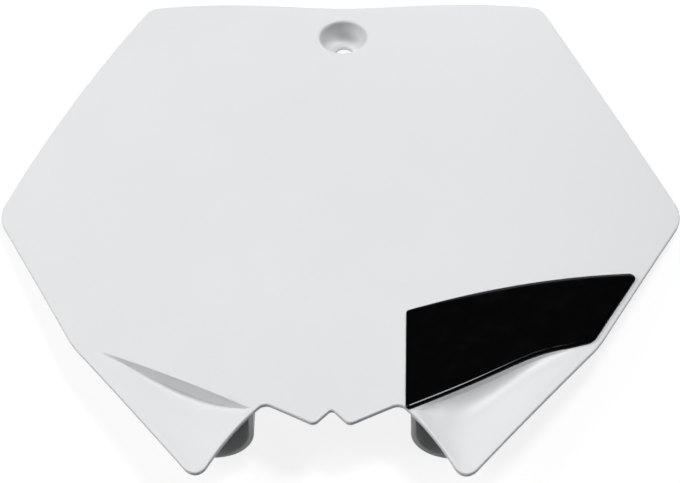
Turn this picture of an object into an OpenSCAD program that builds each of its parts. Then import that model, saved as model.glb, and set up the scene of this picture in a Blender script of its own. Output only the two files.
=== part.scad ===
// Front number plate of a motocross bike: one moulded sheet, screwed at the top and hooked on two
// sockets behind its lower wings, with a glossy panel laid on its lower right.
// The plate lies on its back. X is to the right seen from the front, Y runs up the plate and Z points
// out of its face. The origin is the centre of the screw hole, on the seat of the screw's head.

/* [Outline] */
// Width between the side corners, before they are rounded
side_w = 279; // [250:1:310]
// Height of the side corners, measured from the screw hole
side_y = -90; // [-110:1:-75]
// Radius of the side corners
side_r = 16; // [8:1:24]
// Width between the top corners, before they are rounded
top_w = 169; // [150:1:200]
// Height of the top corners above the screw hole
top_y = 24.8; // [20:0.2:32]
// Radius of the top corners
top_r = 6; // [3:0.5:12]
// Height of the top edge above the screw hole, on the centre line
top_mid_y = 18.4; // [17:0.2:20]
// How far the upper side edges bow outward
side_bow = 1.4; // [0:0.1:3]
// Width across the two bends of the lower side edges
bend_w = 204; // [190:1:220]
// Height of the bends, measured from the screw hole
bend_y = -161; // [-172:1:-150]
// Radius of the bends
bend_r = 60; // [20:1:80]
// Width between the tips of the two wings
tip_w = 100.4; // [85:0.2:110]
// Height of the wing tips, measured from the screw hole
tip_y = -226; // [-240:1:-218]
// Radius of the wing tips
tip_r = 3; // [2:0.5:6]
// How far the inner edges of the wings curve into them
wing_bow = 1.5; // [0:0.1:3]
// Width between the two valleys beside the teeth
valley_w = 53; // [46:1:60]
// Height of the valleys, measured from the screw hole
valley_y = -195.3; // [-200:0.1:-190]
// Radius of the valleys
valley_r = 4; // [2:0.5:6]
// Width between the points of the two teeth
tooth_w = 13; // [10:0.5:18]
// Height of the teeth, measured from the screw hole
tooth_y = -205.3; // [-210:0.1:-200]
// Radius of the teeth
tooth_r = 1.2; // [0.5:0.1:2]
// Height of the notch between the teeth
notch_y = -198.3; // [-200:0.1:-194]

/* [Sheet] */
// Thickness of the moulded sheet
sheet_t = 2.2; // [1.8:0.1:3]
// Bevel along both sides of the sheet's edge
edge_bevel = 0.6; // [0.3:0.1:0.8]
// Radius of the face across the plate
bow_r_across = 600; // [450:10:1200]
// Radius of the face along the plate
bow_r_along = 1800; // [1200:50:4000]
// Height at which the face stands highest, measured from the screw hole
crown_y = -116; // [-130:1:-90]

/* [Wings] */
// Height of the outer end of the wing's crease
crease_outer_y = -162.9; // [-168:0.1:-158]
// Distance from the outer end of the crease to the centre line
crease_outer_x = 94.5; // [90:0.5:96]
// Height of the inner end of the wing's crease
crease_inner_y = -195.6; // [-197:0.1:-193]
// Distance from the inner end of the crease to the centre line
crease_inner_x = 30.9; // [30:0.1:33]
// Greatest depth of the step under the crease
step_h = 6.5; // [3:0.1:8]
// How far the deepest part of the step lies toward its inner end, where 1 is the middle
step_lean = 0.7; // [0.5:0.05:1]
// How gently the step swells from its ends
step_taper = 1.3; // [1:0.1:2]
// Width that the wall of the step takes, seen from the front
step_run = 0.9; // [0.6:0.1:1.5]

/* [Screw recess] */
// Radius of the recess at its floor
recess_r = 9.4; // [8:0.1:10]
// Depth of the recess below the face, on its axis
recess_h = 10.8; // [8:0.1:14]
// Draft of the recess wall, in degrees
recess_draft = 2; // [0:0.5:4]
// Radius of the rounded lip of the recess
lip_r = 1.4; // [0.8:0.1:2]
// Wall of the cup behind the recess
cup_wall = 2.2; // [1.6:0.1:3]
// Thickness of the cup's floor
cup_floor = 1.8; // [1.4:0.1:4]
// Radius of the screw hole
hole_r = 4; // [3:0.1:4.5]
// Thickness of the gussets round the cup
gusset_t = 1.8; // [1.2:0.1:2.4]
// Reach of the gussets past the cup's wall
gusset_run = 7; // [4:0.5:9]

/* [Sockets] */
// Distance of each socket's centre from the centre line
socket_x = 46; // [44:0.5:48]
// Outer radius of the sockets' round backs
socket_r = 16.5; // [14:0.1:17]
// Wall of the sockets
socket_wall = 2; // [1.6:0.1:2.6]
// Height of the open mouth of the sockets
mouth_y = -201; // [-203:0.5:-199]
// Length of the sockets along the plate
socket_l = 26; // [18:0.5:32]
// Depth of the centre of the sockets' round backs below the face's highest point
socket_drop = 11.5; // [10:0.1:14]

/* [Badge panel] */
// Thickness of the panel above the face
panel_t = 1.3; // [0.8:0.1:2]
// Gap between the panel and the wing's crease
panel_gap = 0.35; // [0.2:0.05:2]
// Distance of the panel's upright inner edge from the centre line
panel_inner_x = 27.5; // [26:0.1:32]
// Height of the panel's inner top corner
panel_inner_top_y = -150.9; // [-160:0.1:-140]
// Distance of the panel's outer top corner from the centre line
panel_outer_x = 119.3; // [112:0.1:120]
// Height of the panel's outer top corner
panel_outer_top_y = -123.2; // [-128:0.2:-118]
// How far the panel's lower outer corner lies past the outer end of the crease
panel_foot = 5; // [0:0.5:8]
// Radius of the panel's lower outer corner
panel_corner_r = 8; // [4:0.5:12]
// Radius of the panel's outer top corner
panel_outer_r = 2.2; // [1:0.1:5]
// Radius of the panel's two inner corners
panel_inner_r = 1.4; // [0.8:0.1:3]
// How far the panel's top edge bows upward
panel_bow = 2.1; // [0:0.1:4]

/* [Fineness] */
// Rows of facets between the top edge and the crease
face_rows = 12; // [8:1:20]
// Rows of facets across each wing
wing_rows = 4; // [2:1:8]
// Height of the band of facets above the notch, on the centre line
band_h = 4.5; // [3:0.5:8]
// Sides of a full circle on the round parts
$fn = 72; // [24:8:120]

/* [Hidden] */

// Clearance under the badge panel, how far the lip's cutter starts inside the recess wall, and how
// far cutters run past what they cut
seat_gap = 0.03;
lip_inset = 0.15;
past = 1;

// Height of the face's highest point, and the slope of the face at the screw hole
crown_z = recess_h + crown_y ^ 2 / (2 * bow_r_along);
hole_slope = atan(-crown_y / bow_r_along);
// Radii of the recess rim and the cup, and where the cup's wall ends inside the sheet
rim_r = recess_r + recess_h * tan(recess_draft);
cup_r = rim_r + cup_wall;
cup_top = recess_h - sheet_t / 2;
socket_z = crown_z - socket_drop;

// Corners of the right half of the outline, and the ends of the wing's crease
top_mid = [0, top_mid_y];
top_corner = [top_w / 2, top_y];
side_corner = [side_w / 2, side_y];
bend = [bend_w / 2, bend_y];
tip = [tip_w / 2, tip_y];
valley = [valley_w / 2, valley_y];
tooth = [tooth_w / 2, tooth_y];
notch = [0, notch_y];
crease_outer = [crease_outer_x, crease_outer_y];
crease_inner = [crease_inner_x, crease_inner_y];
crease_l = norm(crease_outer - crease_inner);
crease_dir = unit(crease_outer - crease_inner);
crease_down = [crease_dir[1], -crease_dir[0]];

// Points and lists
function unit(v) = v / norm(v);
function mix(a, b, t) = a + (b - a) * t;
function across(v) = [-v[1], v[0]];
function last(list) = list[len(list) - 1];
function reversed(list) = [for (i = [len(list) - 1 : -1 : 0]) list[i]];
function flipped(p) = [-p[0], p[1]];

// Arc of n points that rounds the corner b between a and c
function fillet(a, b, c, r, n) =
    let (
        u = unit(a - b),
        w = unit(c - b),
        half = acos(u * w) / 2,
        middle = b + unit(u + w) * r / sin(half),
        from = b + u * r / tan(half) - middle,
        to = b + w * r / tan(half) - middle,
        start = atan2(from[1], from[0]),
        turn = atan2(from[0] * to[1] - from[1] * to[0], from * to)
    )
    [for (k = [0 : n - 1]) let (angle = start + turn * k / (n - 1)) middle + r * [cos(angle), sin(angle)]];

// n points between p and q, straight or leaning toward the control point c
function leaning(p, c, q, n) =
    [for (k = [1 : n]) let (t = k / (n + 1)) mix(mix(p, c, t), mix(c, q, t), t)];
function straight(p, q, n) = leaning(p, mix(p, q, 0.5), q, n);

// Right half of the bottom edge, from the notch out to the foot of the side corner
side_lean = mix(top_corner, side_corner, 0.5) + across(unit(side_corner - top_corner)) * 2 * side_bow;
side_arc = fillet(side_lean, side_corner, bend, side_r, 8);
tooth_arc = fillet(notch, tooth, valley, tooth_r, 3);
wing_lean = mix(valley, tip, 0.5) + across(unit(tip - valley)) * 2 * wing_bow;
valley_arc = fillet(tooth, valley, wing_lean, valley_r, 5);
tip_arc = fillet(wing_lean, tip, bend, tip_r, 6);
bend_arc = fillet(tip, bend, side_corner, bend_r, 3);
lower_side_arc = reversed([for (k = [4 : 7]) side_arc[k]]);
bottom = concat(
    [notch],
    tooth_arc, straight(last(tooth_arc), valley_arc[0], 2),
    valley_arc, leaning(last(valley_arc), wing_lean, tip_arc[0], 4),
    tip_arc, straight(last(tip_arc), bend_arc[0], 7),
    bend_arc, straight(last(bend_arc), lower_side_arc[0], 5),
    lower_side_arc
);
columns = len(bottom) - 1;

// Right half of the top edge, from its middle out to the head of the side corner. It dips at its
// middle, and has as many points as the bottom edge.
top_lean = [top_w * 0.27, top_y - 0.4];
corner_arc = fillet(top_lean, top_corner, side_lean, top_r, 4);
upper_side_arc = [for (k = [0 : 3]) side_arc[k]];
top_count = 17;
function top_edge(t) =
    let (a = [top_w * 0.12, top_mid_y])
    mix(
        mix(mix(top_mid, a, t), mix(a, top_lean, t), t),
        mix(mix(a, top_lean, t), mix(top_lean, corner_arc[0], t), t),
        t
    );
top = concat(
    [for (k = [0 : top_count - 1]) top_edge(k / top_count)],
    corner_arc,
    leaning(last(corner_arc), side_lean, upper_side_arc[0], columns + 1 - top_count - 8),
    upper_side_arc
);

// Face without its step, and the point a given depth under it, measured square to the face
function face_z(p) = crown_z - p[0] ^ 2 / (2 * bow_r_across) - (p[1] - crown_y) ^ 2 / (2 * bow_r_along);
function under_face(p, drop, depth) =
    [p[0], p[1], face_z(p) - drop]
    - depth * unit([p[0] / bow_r_across, (p[1] - crown_y) / bow_r_along, 1]);

// Depth of the step along the crease: it swells soon after the inner end and dies away outward
function step_depth(share) =
    share <= 0 || share >= 1 ? 0 : step_h * sin(180 * share ^ step_lean) ^ step_taper;
// The wing is scooped by straight lines that run from its tip to the foot of the step
function scoop(p) =
    let (
        ray = p - tip,
        foot = crease_inner - tip,
        reach = cross(foot, crease_dir) / cross(ray, crease_dir),
        share = cross(foot, ray) / cross(ray, crease_dir) / crease_l
    )
    norm(ray) < 0.01 || cross(ray, crease_dir) == 0 ? 0 : step_depth(share) / max(1, reach);

// Columns of the mesh between which the wing hangs from the crease
wing_first = 1 + 3 + 2 + 4;
wing_last = wing_first + 1 + 4 + 6 + 7;
function in_wing(i) = i > wing_first && i < wing_last;
// Point of column i on the line where face and wing meet. Past the crease it is a margin line, which
// runs out to the side corner and ends on the last column, between head and foot.
function crease_point(i, head, foot) =
    let (left = (columns - i) / (columns - wing_last))
    i <= wing_first ? bottom[i] + mix([0, band_h], crease_inner - bottom[wing_first], (i / wing_first) ^ 4)
    : i < wing_last ? mix(crease_inner, crease_outer, (i - wing_first) / (wing_last - wing_first))
    : mix(foot, head, (1 - left) * 0.3) + (crease_outer - bottom[wing_last]) * left;
// Shift of the step on the sheet's back, so that the wall of the step is as thick as the sheet
function back_shift(i) =
    in_wing(i) ? -crease_down * sheet_t * min(1, step_depth((i - wing_first) / (wing_last - wing_first)))
    : [0, 0];

// Column i of the plate's right half, from its head on the top edge to its foot on the bottom edge:
// rows down the face, over the step and down the wing
function half_column(i, head, foot, shift) =
    let (
        k = crease_point(i, head, foot) + shift,
        f = in_wing(i) ? k + crease_down * step_run : mix(k, foot, 0.15)
    )
    concat(
        [for (j = [0 : face_rows]) mix(head, k, j / face_rows)],
        [for (j = [0 : wing_rows]) mix(f, foot, j / wing_rows)]
    );
function column_drops(i, column) =
    [for (j = [0 : len(column) - 1]) in_wing(i) && j > face_rows ? scoop(column[j]) : 0];
function whole(half) = concat(
    [for (i = [columns : -1 : 1]) [for (p = half[i]) flipped(p)]],
    half
);

// The outline drawn in by the bevel, as a loop round the whole plate
plate_loop = concat(
    bottom, reversed(top), [for (k = [1 : columns]) flipped(top[k])],
    [for (k = [columns : -1 : 1]) flipped(bottom[k])]
);
plate_inner = inset(plate_loop, edge_bevel);
function inner_foot(i) = plate_inner[i];
function inner_head(i) = plate_inner[2 * columns + 1 - i];

right_edge = [for (i = [0 : columns]) half_column(i, top[i], bottom[i], [0, 0])];
right_front = [for (i = [0 : columns]) half_column(i, inner_head(i), inner_foot(i), [0, 0])];
right_back = [for (i = [0 : columns]) half_column(i, inner_head(i), inner_foot(i), back_shift(i))];
right_drops = [for (i = [0 : columns]) column_drops(i, right_front[i])];
plate_drops = concat(reversed([for (i = [1 : columns]) right_drops[i]]), right_drops);

// Places along the rim of a grid of points, counter-clockwise seen from the front
function rim_of(grid) =
    let (c = len(grid) - 1, r = len(grid[0]) - 1)
    concat(
        [for (i = [0 : c]) [i, r]],
        [for (j = [r - 1 : -1 : 0]) [c, j]],
        [for (i = [c - 1 : -1 : 0]) [i, 0]],
        [for (j = [1 : r - 1]) [0, j]]
    );
// Closed loop of points, counter-clockwise, drawn in by d
function inset(loop, d) =
    let (n = len(loop))
    [for (k = [0 : n - 1])
        let (
            before = across(unit(loop[k] - loop[(k + n - 1) % n])),
            after = across(unit(loop[(k + 1) % n] - loop[k])),
            inward = unit(before + after)
        )
        loop[k] + inward * d / max(0.6, inward * before)];

// Solid between two grids of points laid on the face, front and back, with the rings of its edge
// round the rim of a third one. depths runs from the front grid through the rings to the back grid.
module slab(front, back, edge, drops, depths) {
    c = len(front);
    r = len(front[0]);
    rim = rim_of(front);
    n = len(rim);
    rings = len(depths) - 2;
    points = concat(
        [for (i = [0 : c - 1]) for (j = [0 : r - 1]) under_face(front[i][j], drops[i][j], depths[0])],
        [for (i = [0 : c - 1]) for (j = [0 : r - 1]) under_face(back[i][j], drops[i][j], last(depths))],
        [for (ring = [1 : rings]) for (q = rim)
            under_face(edge[q[0]][q[1]], drops[q[0]][q[1]], depths[ring])]
    );
    // Number of point k of the rim: on the front grid, on a ring of the edge, or on the back grid
    function number(ring, k) =
        let (m = k % n)
        ring == 0 ? rim[m][0] * r + rim[m][1]
        : ring > rings ? c * r + rim[m][0] * r + rim[m][1]
        : 2 * c * r + (ring - 1) * n + m;
    // The two triangles of a four-sided cell, split the same way on both halves of the plate
    function cell(a, b, e, d, right) = right ? [[a, b, e], [a, e, d]] : [[a, b, d], [b, e, d]];
    faces = concat(
        [for (i = [0 : c - 2]) for (j = [0 : r - 2]) let (a = i * r + j)
            each cell(a, a + r, a + r + 1, a + 1, 2 * i >= c - 1)],
        [for (i = [0 : c - 2]) for (j = [0 : r - 2]) let (a = c * r + i * r + j)
            for (t = cell(a, a + r, a + r + 1, a + 1, 2 * i >= c - 1)) [t[2], t[1], t[0]]],
        [for (ring = [0 : rings]) for (k = [0 : n - 1])
            each cell(number(ring, k), number(ring, k + 1), number(ring + 1, k + 1), number(ring + 1, k), true)]
    );
    polyhedron(points = points, faces = faces, convexity = 6);
}

// The curved sheet with its stepped wings and bevelled edge
module sheet() {
    slab(whole(right_front), whole(right_back), whole(right_edge), plate_drops,
        [0, edge_bevel, sheet_t - edge_bevel, sheet_t]);
}

// Cup behind the screw recess, ending inside the sheet
module cup() {
    translate([0, 0, -cup_floor])
        cylinder(r1 = cup_r - (cup_top + cup_floor) * tan(recess_draft), r2 = cup_r, h = cup_top + cup_floor);
}

// Thin web in the corner between the cup and the sheet's back, at an angle round the cup
module gusset(angle) {
    inner = cup_r - cup_wall / 2;
    outer = cup_r + gusset_run;
    top_at = function(r) face_z(r * [cos(angle), sin(angle)]) - sheet_t / 2;
    rotate([0, 0, angle])
        rotate([90, 0, 0])
            translate([0, 0, -gusset_t / 2])
                linear_extrude(gusset_t)
                    polygon([[inner, 0], [inner, top_at(inner)], [outer, top_at(outer)]]);
}

// Recess for the screw's head, and the screw hole. The lip is square to the sloping face, so its
// cutter starts a little inside the recess wall.
module screw_recess() {
    cylinder(r1 = recess_r, r2 = rim_r, h = recess_h);
    lip_start = rim_r - lip_r * tan(recess_draft) - lip_inset;
    translate([0, 0, recess_h])
        rotate([-hole_slope, 0, 0])
            rotate_extrude()
                polygon(concat(
                    [[0, -lip_r]],
                    [for (a = [0 : 15 : 90]) [lip_start + lip_r * (1 - cos(a)), lip_r * (sin(a) - 1)]],
                    [[lip_start + lip_r, sheet_t], [0, sheet_t]]
                ));
    translate([0, 0, -cup_floor - past])
        cylinder(r = hole_r, h = cup_floor + 2 * past);
}

// Section of a socket: a round back and two straight sides up to the sheet
module socket_section(r) {
    circle(r);
    translate([-r, 0])
        square([2 * r, socket_drop + past]);
}

// Everything in front of the middle of the sheet, over one socket
module front_of_sheet() {
    along = [for (a = [-14 : 3.5 : 42]) a];
    down = [-34, -22, -11, -sheet_t / 2 - 0.2, -sheet_t / 2 + 0.2, 6, 12, 20, 28];
    at = function(a, d) crease_inner + crease_dir * a + crease_down * d;
    // The step of the sheet's middle lies half a thickness above the crease
    drop = function(a, d) d < -sheet_t / 2 ? 0 : scoop(at(a, max(d, 0)));
    c = len(along);
    r = len(down);
    points = concat(
        [for (a = along) for (d = down) under_face(at(a, d), drop(a, d), sheet_t / 2)],
        [for (a = along) for (d = down) [at(a, d)[0], at(a, d)[1], crown_z + socket_r]]
    );
    rim = rim_of([for (a = along) down]);
    faces = concat(
        [for (i = [0 : c - 2]) for (j = [0 : r - 2]) let (a = i * r + j)
            each [[a + 1, a + r + 1, a + r], [a + 1, a + r, a]]],
        [for (i = [0 : c - 2]) for (j = [0 : r - 2]) let (a = c * r + i * r + j)
            each [[a, a + r, a + r + 1], [a, a + r + 1, a + 1]]],
        [for (k = [0 : len(rim) - 1])
            let (
                p = rim[k][0] * r + rim[k][1],
                q = rim[(k + 1) % len(rim)][0] * r + rim[(k + 1) % len(rim)][1]
            )
            each [[c * r + p, c * r + q, q], [c * r + p, q, p]]]
    );
    polyhedron(points = points, faces = faces, convexity = 4);
}

// Socket behind the right wing: a half round tube along the plate, open at its lower end
module socket() {
    difference() {
        translate([socket_x, mouth_y + socket_l, socket_z])
            rotate([90, 0, 0])
                difference() {
                    linear_extrude(socket_l)
                        socket_section(socket_r);
                    translate([0, 0, socket_wall])
                        linear_extrude(socket_l)
                            socket_section(socket_r - socket_wall);
                }
        front_of_sheet();
    }
}

module number_plate() {
    color("whitesmoke")
        difference() {
            union() {
                sheet();
                cup();
                for (angle = [45 : 90 : 315])
                    gusset(angle);
                socket();
                mirror([1, 0, 0])
                    socket();
            }
            screw_recess();
        }
}

// Outline of the badge panel: its bottom edge follows the crease, and its top edge bows upward
panel_line = crease_inner - crease_down * panel_gap;
panel_lower_inner = [panel_inner_x, on_panel_line(panel_inner_x)];
panel_foot_x = crease_outer_x + panel_foot;
panel_lower_outer = [panel_foot_x, on_panel_line(panel_foot_x)];
panel_upper_inner = [panel_inner_x, panel_inner_top_y];
panel_upper_outer = [panel_outer_x, panel_outer_top_y];
function on_panel_line(x) = panel_line[1] + (x - panel_line[0]) * crease_dir[1] / crease_dir[0];

// The panel is a grid between its bottom and its top edge
panel_lean = mix(panel_upper_inner, panel_upper_outer, 0.5)
    + across(unit(panel_upper_outer - panel_upper_inner)) * 2 * panel_bow;
panel_bottom = concat(
    fillet(panel_upper_inner, panel_lower_inner, panel_lower_outer, panel_inner_r, 3),
    [for (p = [for (k = [1 : 10]) k / 11]) mix(panel_lower_inner, panel_lower_outer, p)],
    fillet(panel_lower_inner, panel_lower_outer, panel_upper_outer, panel_corner_r, 5)
);
panel_inner_arc = reversed(fillet(panel_lean, panel_upper_inner, panel_lower_inner, panel_inner_r, 3));
panel_outer_arc = fillet(panel_lean, panel_upper_outer, panel_lower_outer, panel_outer_r, 5);
panel_top = concat(
    panel_inner_arc,
    leaning(last(panel_inner_arc), panel_lean, panel_outer_arc[0], 10),
    panel_outer_arc
);
panel_rows = 6;
panel_bevel = 0.4 * panel_t;
panel_count = len(panel_top);
panel_inner = inset(concat(panel_bottom, reversed(panel_top)), panel_bevel);
function panel_grid(head, foot) =
    [for (i = [0 : panel_count - 1]) [for (j = [0 : panel_rows]) mix(head[i], foot[i], j / panel_rows)]];
panel_edge = panel_grid(panel_top, panel_bottom);
panel_front = panel_grid(
    reversed([for (k = [panel_count : 2 * panel_count - 1]) panel_inner[k]]),
    [for (k = [0 : panel_count - 1]) panel_inner[k]]
);
panel_drops = [for (column = panel_edge) [for (p = column) 0]];

module badge_panel() {
    color("black")
        slab(panel_front, panel_edge, panel_edge, panel_drops,
            [-panel_t, panel_bevel - panel_t, -seat_gap]);
}

number_plate();
badge_panel();
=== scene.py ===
"""Front number plate of a motocross bike, dressed for rendering around its packed CAD frame.

The plate lies on its back. X is to the right seen from the front, Y runs up the plate and Z points
out of its face. The origin is the centre of the screw hole, on the seat of the screw's head.
All lengths are in metres.
"""

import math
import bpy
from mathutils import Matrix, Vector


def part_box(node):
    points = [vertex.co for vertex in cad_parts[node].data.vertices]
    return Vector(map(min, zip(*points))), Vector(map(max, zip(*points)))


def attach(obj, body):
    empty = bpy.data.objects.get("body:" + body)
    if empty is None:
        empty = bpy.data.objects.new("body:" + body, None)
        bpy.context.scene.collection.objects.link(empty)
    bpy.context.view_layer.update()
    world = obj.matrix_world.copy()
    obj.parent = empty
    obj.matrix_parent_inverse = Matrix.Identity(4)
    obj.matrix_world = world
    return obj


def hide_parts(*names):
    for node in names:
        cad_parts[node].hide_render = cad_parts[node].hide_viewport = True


bl_info = {
    "name": "Motocross Front Number Plate",
    "version": (1, 0, 0),
    "blender": (4, 5, 0),
    "location": "3D View > Sidebar > Number Plate",
    "description": "Builds a moulded front number plate with a glossy badge panel",
    "category": "Add Mesh",
}

import bpy
import numpy as np
from bpy.props import FloatProperty, FloatVectorProperty, IntProperty, PointerProperty
from mathutils import Matrix

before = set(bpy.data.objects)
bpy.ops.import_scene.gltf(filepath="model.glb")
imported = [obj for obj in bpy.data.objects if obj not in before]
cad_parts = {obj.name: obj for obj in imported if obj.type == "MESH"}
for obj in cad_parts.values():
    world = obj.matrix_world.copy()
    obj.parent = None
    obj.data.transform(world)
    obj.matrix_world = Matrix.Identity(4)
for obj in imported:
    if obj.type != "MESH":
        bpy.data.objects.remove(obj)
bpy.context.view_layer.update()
CAD_PLATE_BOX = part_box("number_plate")
BODY = "root"


def length(name, description, default):
    """Property for a length in metres."""
    return FloatProperty(
        name=name, description=description, default=default, unit="LENGTH", subtype="DISTANCE", precision=5
    )


def turned(name, description, degrees):
    """Property for an angle, given in degrees."""
    return FloatProperty(
        name=name, description=description, default=math.radians(degrees), unit="ROTATION", subtype="ANGLE"
    )


def colour(name, description, default):
    """Property for a colour, in linear red, green and blue."""
    return FloatVectorProperty(
        name=name, description=description, default=default, size=3, min=0, max=1, subtype="COLOR"
    )


def share(name, description, default):
    """Property for a plain number from 0 to 1."""
    return FloatProperty(name=name, description=description, default=default, min=0, max=1, subtype="FACTOR")


def plain(name, description, default):
    """Property for a plain number without a unit."""
    return FloatProperty(name=name, description=description, default=default, precision=3)


def count(name, description, default):
    """Property for a number of rows or points."""
    return IntProperty(name=name, description=description, default=default, min=2)


class PlateOutline(bpy.types.PropertyGroup):
    """Corners and radii of the plate's outline."""

    side_w: length("Side Width", "Width between the side corners, before they are rounded", 0.279)
    side_y: length("Side Height", "Height of the side corners from the screw hole", -0.090)
    side_r: length("Side Radius", "Radius of the side corners", 0.016)
    top_w: length("Top Width", "Width between the top corners, before they are rounded", 0.169)
    top_y: length("Top Height", "Height of the top corners above the screw hole", 0.0248)
    top_r: length("Top Radius", "Radius of the top corners", 0.006)
    top_mid_y: length("Top Middle", "Height of the top edge on the centre line", 0.0184)
    top_flat: share("Top Flat", "Where the dip of the top edge lets go, as a share of its width", 0.12)
    top_rise: share("Top Rise", "Where the top edge levels out, as a share of its width", 0.27)
    top_fall: length("Top Fall", "How far below its corners the top edge levels out", 0.0004)
    side_bow: length("Left Side Bow", "How far the upper left edge bows outward", 0.0024)
    right_side_bow: length("Right Side Bow", "How far the upper right edge bows outward", -0.0004)
    bend_w: length("Bend Width", "Width across the bends of the lower side edges", 0.204)
    bend_y: length("Bend Height", "Height of the bends from the screw hole", -0.161)
    bend_r: length("Bend Radius", "Radius of the bends", 0.060)
    tip_w: length("Tip Width", "Width between the tips of the wings", 0.0988)
    tip_y: length("Tip Height", "Height of the wing tips from the screw hole", -0.2275)
    tip_r: length("Tip Radius", "Radius of the wing tips", 0.005)
    wing_bow: length("Wing Bow", "How far the inner edges of the wings curve into them", 0.0015)
    valley_w: length("Valley Width", "Width between the valleys beside the teeth", 0.0514)
    valley_y: length("Valley Height", "Height of the valleys from the screw hole", -0.1935)
    valley_r: length("Valley Radius", "Radius of the valleys", 0.004)
    tooth_w: length("Tooth Width", "Width between the points of the teeth", 0.013)
    tooth_y: length("Tooth Height", "Height of the teeth from the screw hole", -0.2035)
    tooth_r: length("Tooth Radius", "Radius of the teeth", 0.0028)
    notch_y: length("Notch Height", "Height of the notch between the teeth", -0.1966)
    notch_r: length("Notch Radius", "Radius of the notch between the teeth", 0.0015)


class PlateSheet(bpy.types.PropertyGroup):
    """Thickness, curvature and stepped wings of the moulded sheet."""

    thickness: length("Thickness", "Thickness of the sheet", 0.0022)
    edge_r: length("Edge Radius", "Radius that rounds both sides of the edge", 0.0007)
    bow_across: length("Bow Across", "Radius of the face across the plate", 0.600)
    bow_along: length("Bow Along", "Radius of the face along the plate", 1.800)
    crown_y: length("Crown Height", "Where the face stands highest, from the screw hole", -0.116)
    crease_outer_x: length("Crease Outer X", "Outer end of the wing's crease", 0.0945)
    crease_outer_y: length("Crease Outer Y", "Height of the crease's outer end", -0.1629)
    crease_inner_x: length("Crease Inner X", "Inner end of the wing's crease", 0.0309)
    crease_inner_y: length("Crease Inner Y", "Height of the crease's inner end", -0.1956)
    right_bow: length("Right Crease Bow", "How far the right crease bows up under the panel", 0.0025)
    bow_lean: plain("Bow Lean", "How strongly that bow leans to the outer end, where 1 is not at all", 2.5)
    right_fill: share("Right Fill", "Share of the right step that rises softly from the wing", 0.7)
    fill_run: length("Fill Run", "Width over which the right step rises softly", 0.020)
    step_h: length("Step Depth", "Greatest depth of the step under the crease", 0.0065)
    step_lean: plain("Step Lean", "How the step swells to its inner end, where 1 is not at all", 0.7)
    step_taper: plain("Step Taper", "How finely the step dies away at its ends", 1.3)
    step_run: length("Step Run", "Width that the wall of the step takes", 0.0012)
    face_rows: count("Face Rows", "Rows between the top edge and the crease", 80)
    step_rows: count("Step Rows", "Rows over the wall of the step", 10)
    wing_rows: count("Wing Rows", "Rows across each wing", 22)


class ScrewCup(bpy.types.PropertyGroup):
    """Screw recess, and the cup and gussets behind it."""

    recess_r: length("Recess Radius", "Radius of the recess at its floor", 0.0094)
    recess_h: length("Recess Depth", "Depth of the recess on its axis", 0.0108)
    draft: turned("Draft", "Draft of the recess wall", 2)
    lip_r: length("Lip Radius", "Radius of the rounded lip of the recess", 0.0014)
    floor_r: length("Floor Radius", "Radius between the floor and the wall of the recess", 0.0036)
    wall: length("Wall", "Wall of the cup behind the recess", 0.0022)
    floor: length("Floor", "Thickness of the cup's floor", 0.0018)
    hole_r: length("Hole Radius", "Radius of the screw hole", 0.004)
    chamfer: length("Hole Edge", "Chamfer on both ends of the screw hole", 0.0006)
    foot_r: length("Foot Radius", "Radius between the cup and the back of the sheet", 0.001)
    gussets: count("Gussets", "Number of gussets round the cup", 4)
    gusset_t: length("Gusset Thickness", "Thickness of the gussets round the cup", 0.0018)
    gusset_run: length("Gusset Reach", "Reach of the gussets past the cup's wall", 0.007)


class SocketPair(bpy.types.PropertyGroup):
    """The two sockets behind the wings."""

    x: length("Distance", "Distance of each socket from the centre line", 0.046)
    outer_r: length("Outer Radius", "Radius of the sockets' round backs", 0.0165)
    wall: length("Wall", "Wall of the sockets", 0.002)
    mouth_y: length("Mouth Height", "Height of the open mouths of the sockets", -0.201)
    run: length("Length", "Length of the sockets along the plate", 0.026)
    drop: length("Drop", "Depth of their centres below the face's highest point", 0.0115)
    set_back: length("Set Back", "How far the mouths' inner corners lie back under the sheet", 0.003)
    back_run: length("Set Back Run", "Length over which they come forward again", 0.0104)
    rim_r: length("Rim Radius", "Radius that rounds the rims of the mouths", 0.0004)


class PanelShape(bpy.types.PropertyGroup):
    """Badge panel beside the crease of the right wing."""

    thickness: length("Thickness", "Thickness of the panel above the face", 0.0013)
    gap: length("Crease Gap", "Gap between the panel and the crease", 0.0)
    inner_x: length("Inner Edge", "Distance of the inner edge from the centre line", 0.0275)
    inner_top_y: length("Inner Top", "Height of the inner top corner", -0.1509)
    outer_x: length("Outer Corner", "Distance of the outer top corner from the centre line", 0.1193)
    outer_top_y: length("Outer Top", "Height of the outer top corner", -0.1232)
    crease_from: share("Crease Start", "Share of the crease where the bottom edge begins to follow it", 0.03)
    crease_to: share("Crease End", "Share of the crease where the bottom edge leaves it", 0.92)
    foot_x: length("Lower Corner X", "Distance of the lower outer corner from the centre line", 0.0996)
    foot_y: length("Lower Corner Y", "Height of the lower outer corner", -0.1599)
    corner_r: length("Corner Radius", "Radius of the lower outer corner", 0.008)
    small_r: length("Small Radius", "Radius of the two inner corners", 0.0014)
    outer_r: length("Outer Radius", "Radius of the outer top corner", 0.0022)
    bow: length("Top Bow", "How far the top edge bows upward", 0.0021)
    edge_w: length("Edge Width", "Width over which the panel's upper edge rounds off", 0.0016)
    edge_h: length("Edge Height", "Height over which the panel's upper edge rounds off", 0.0009)
    seat_gap: length("Seat Gap", "Clearance under the panel", 0.00003)
    rows: count("Rows", "Rows between the bottom and the top edge", 24)


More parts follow.
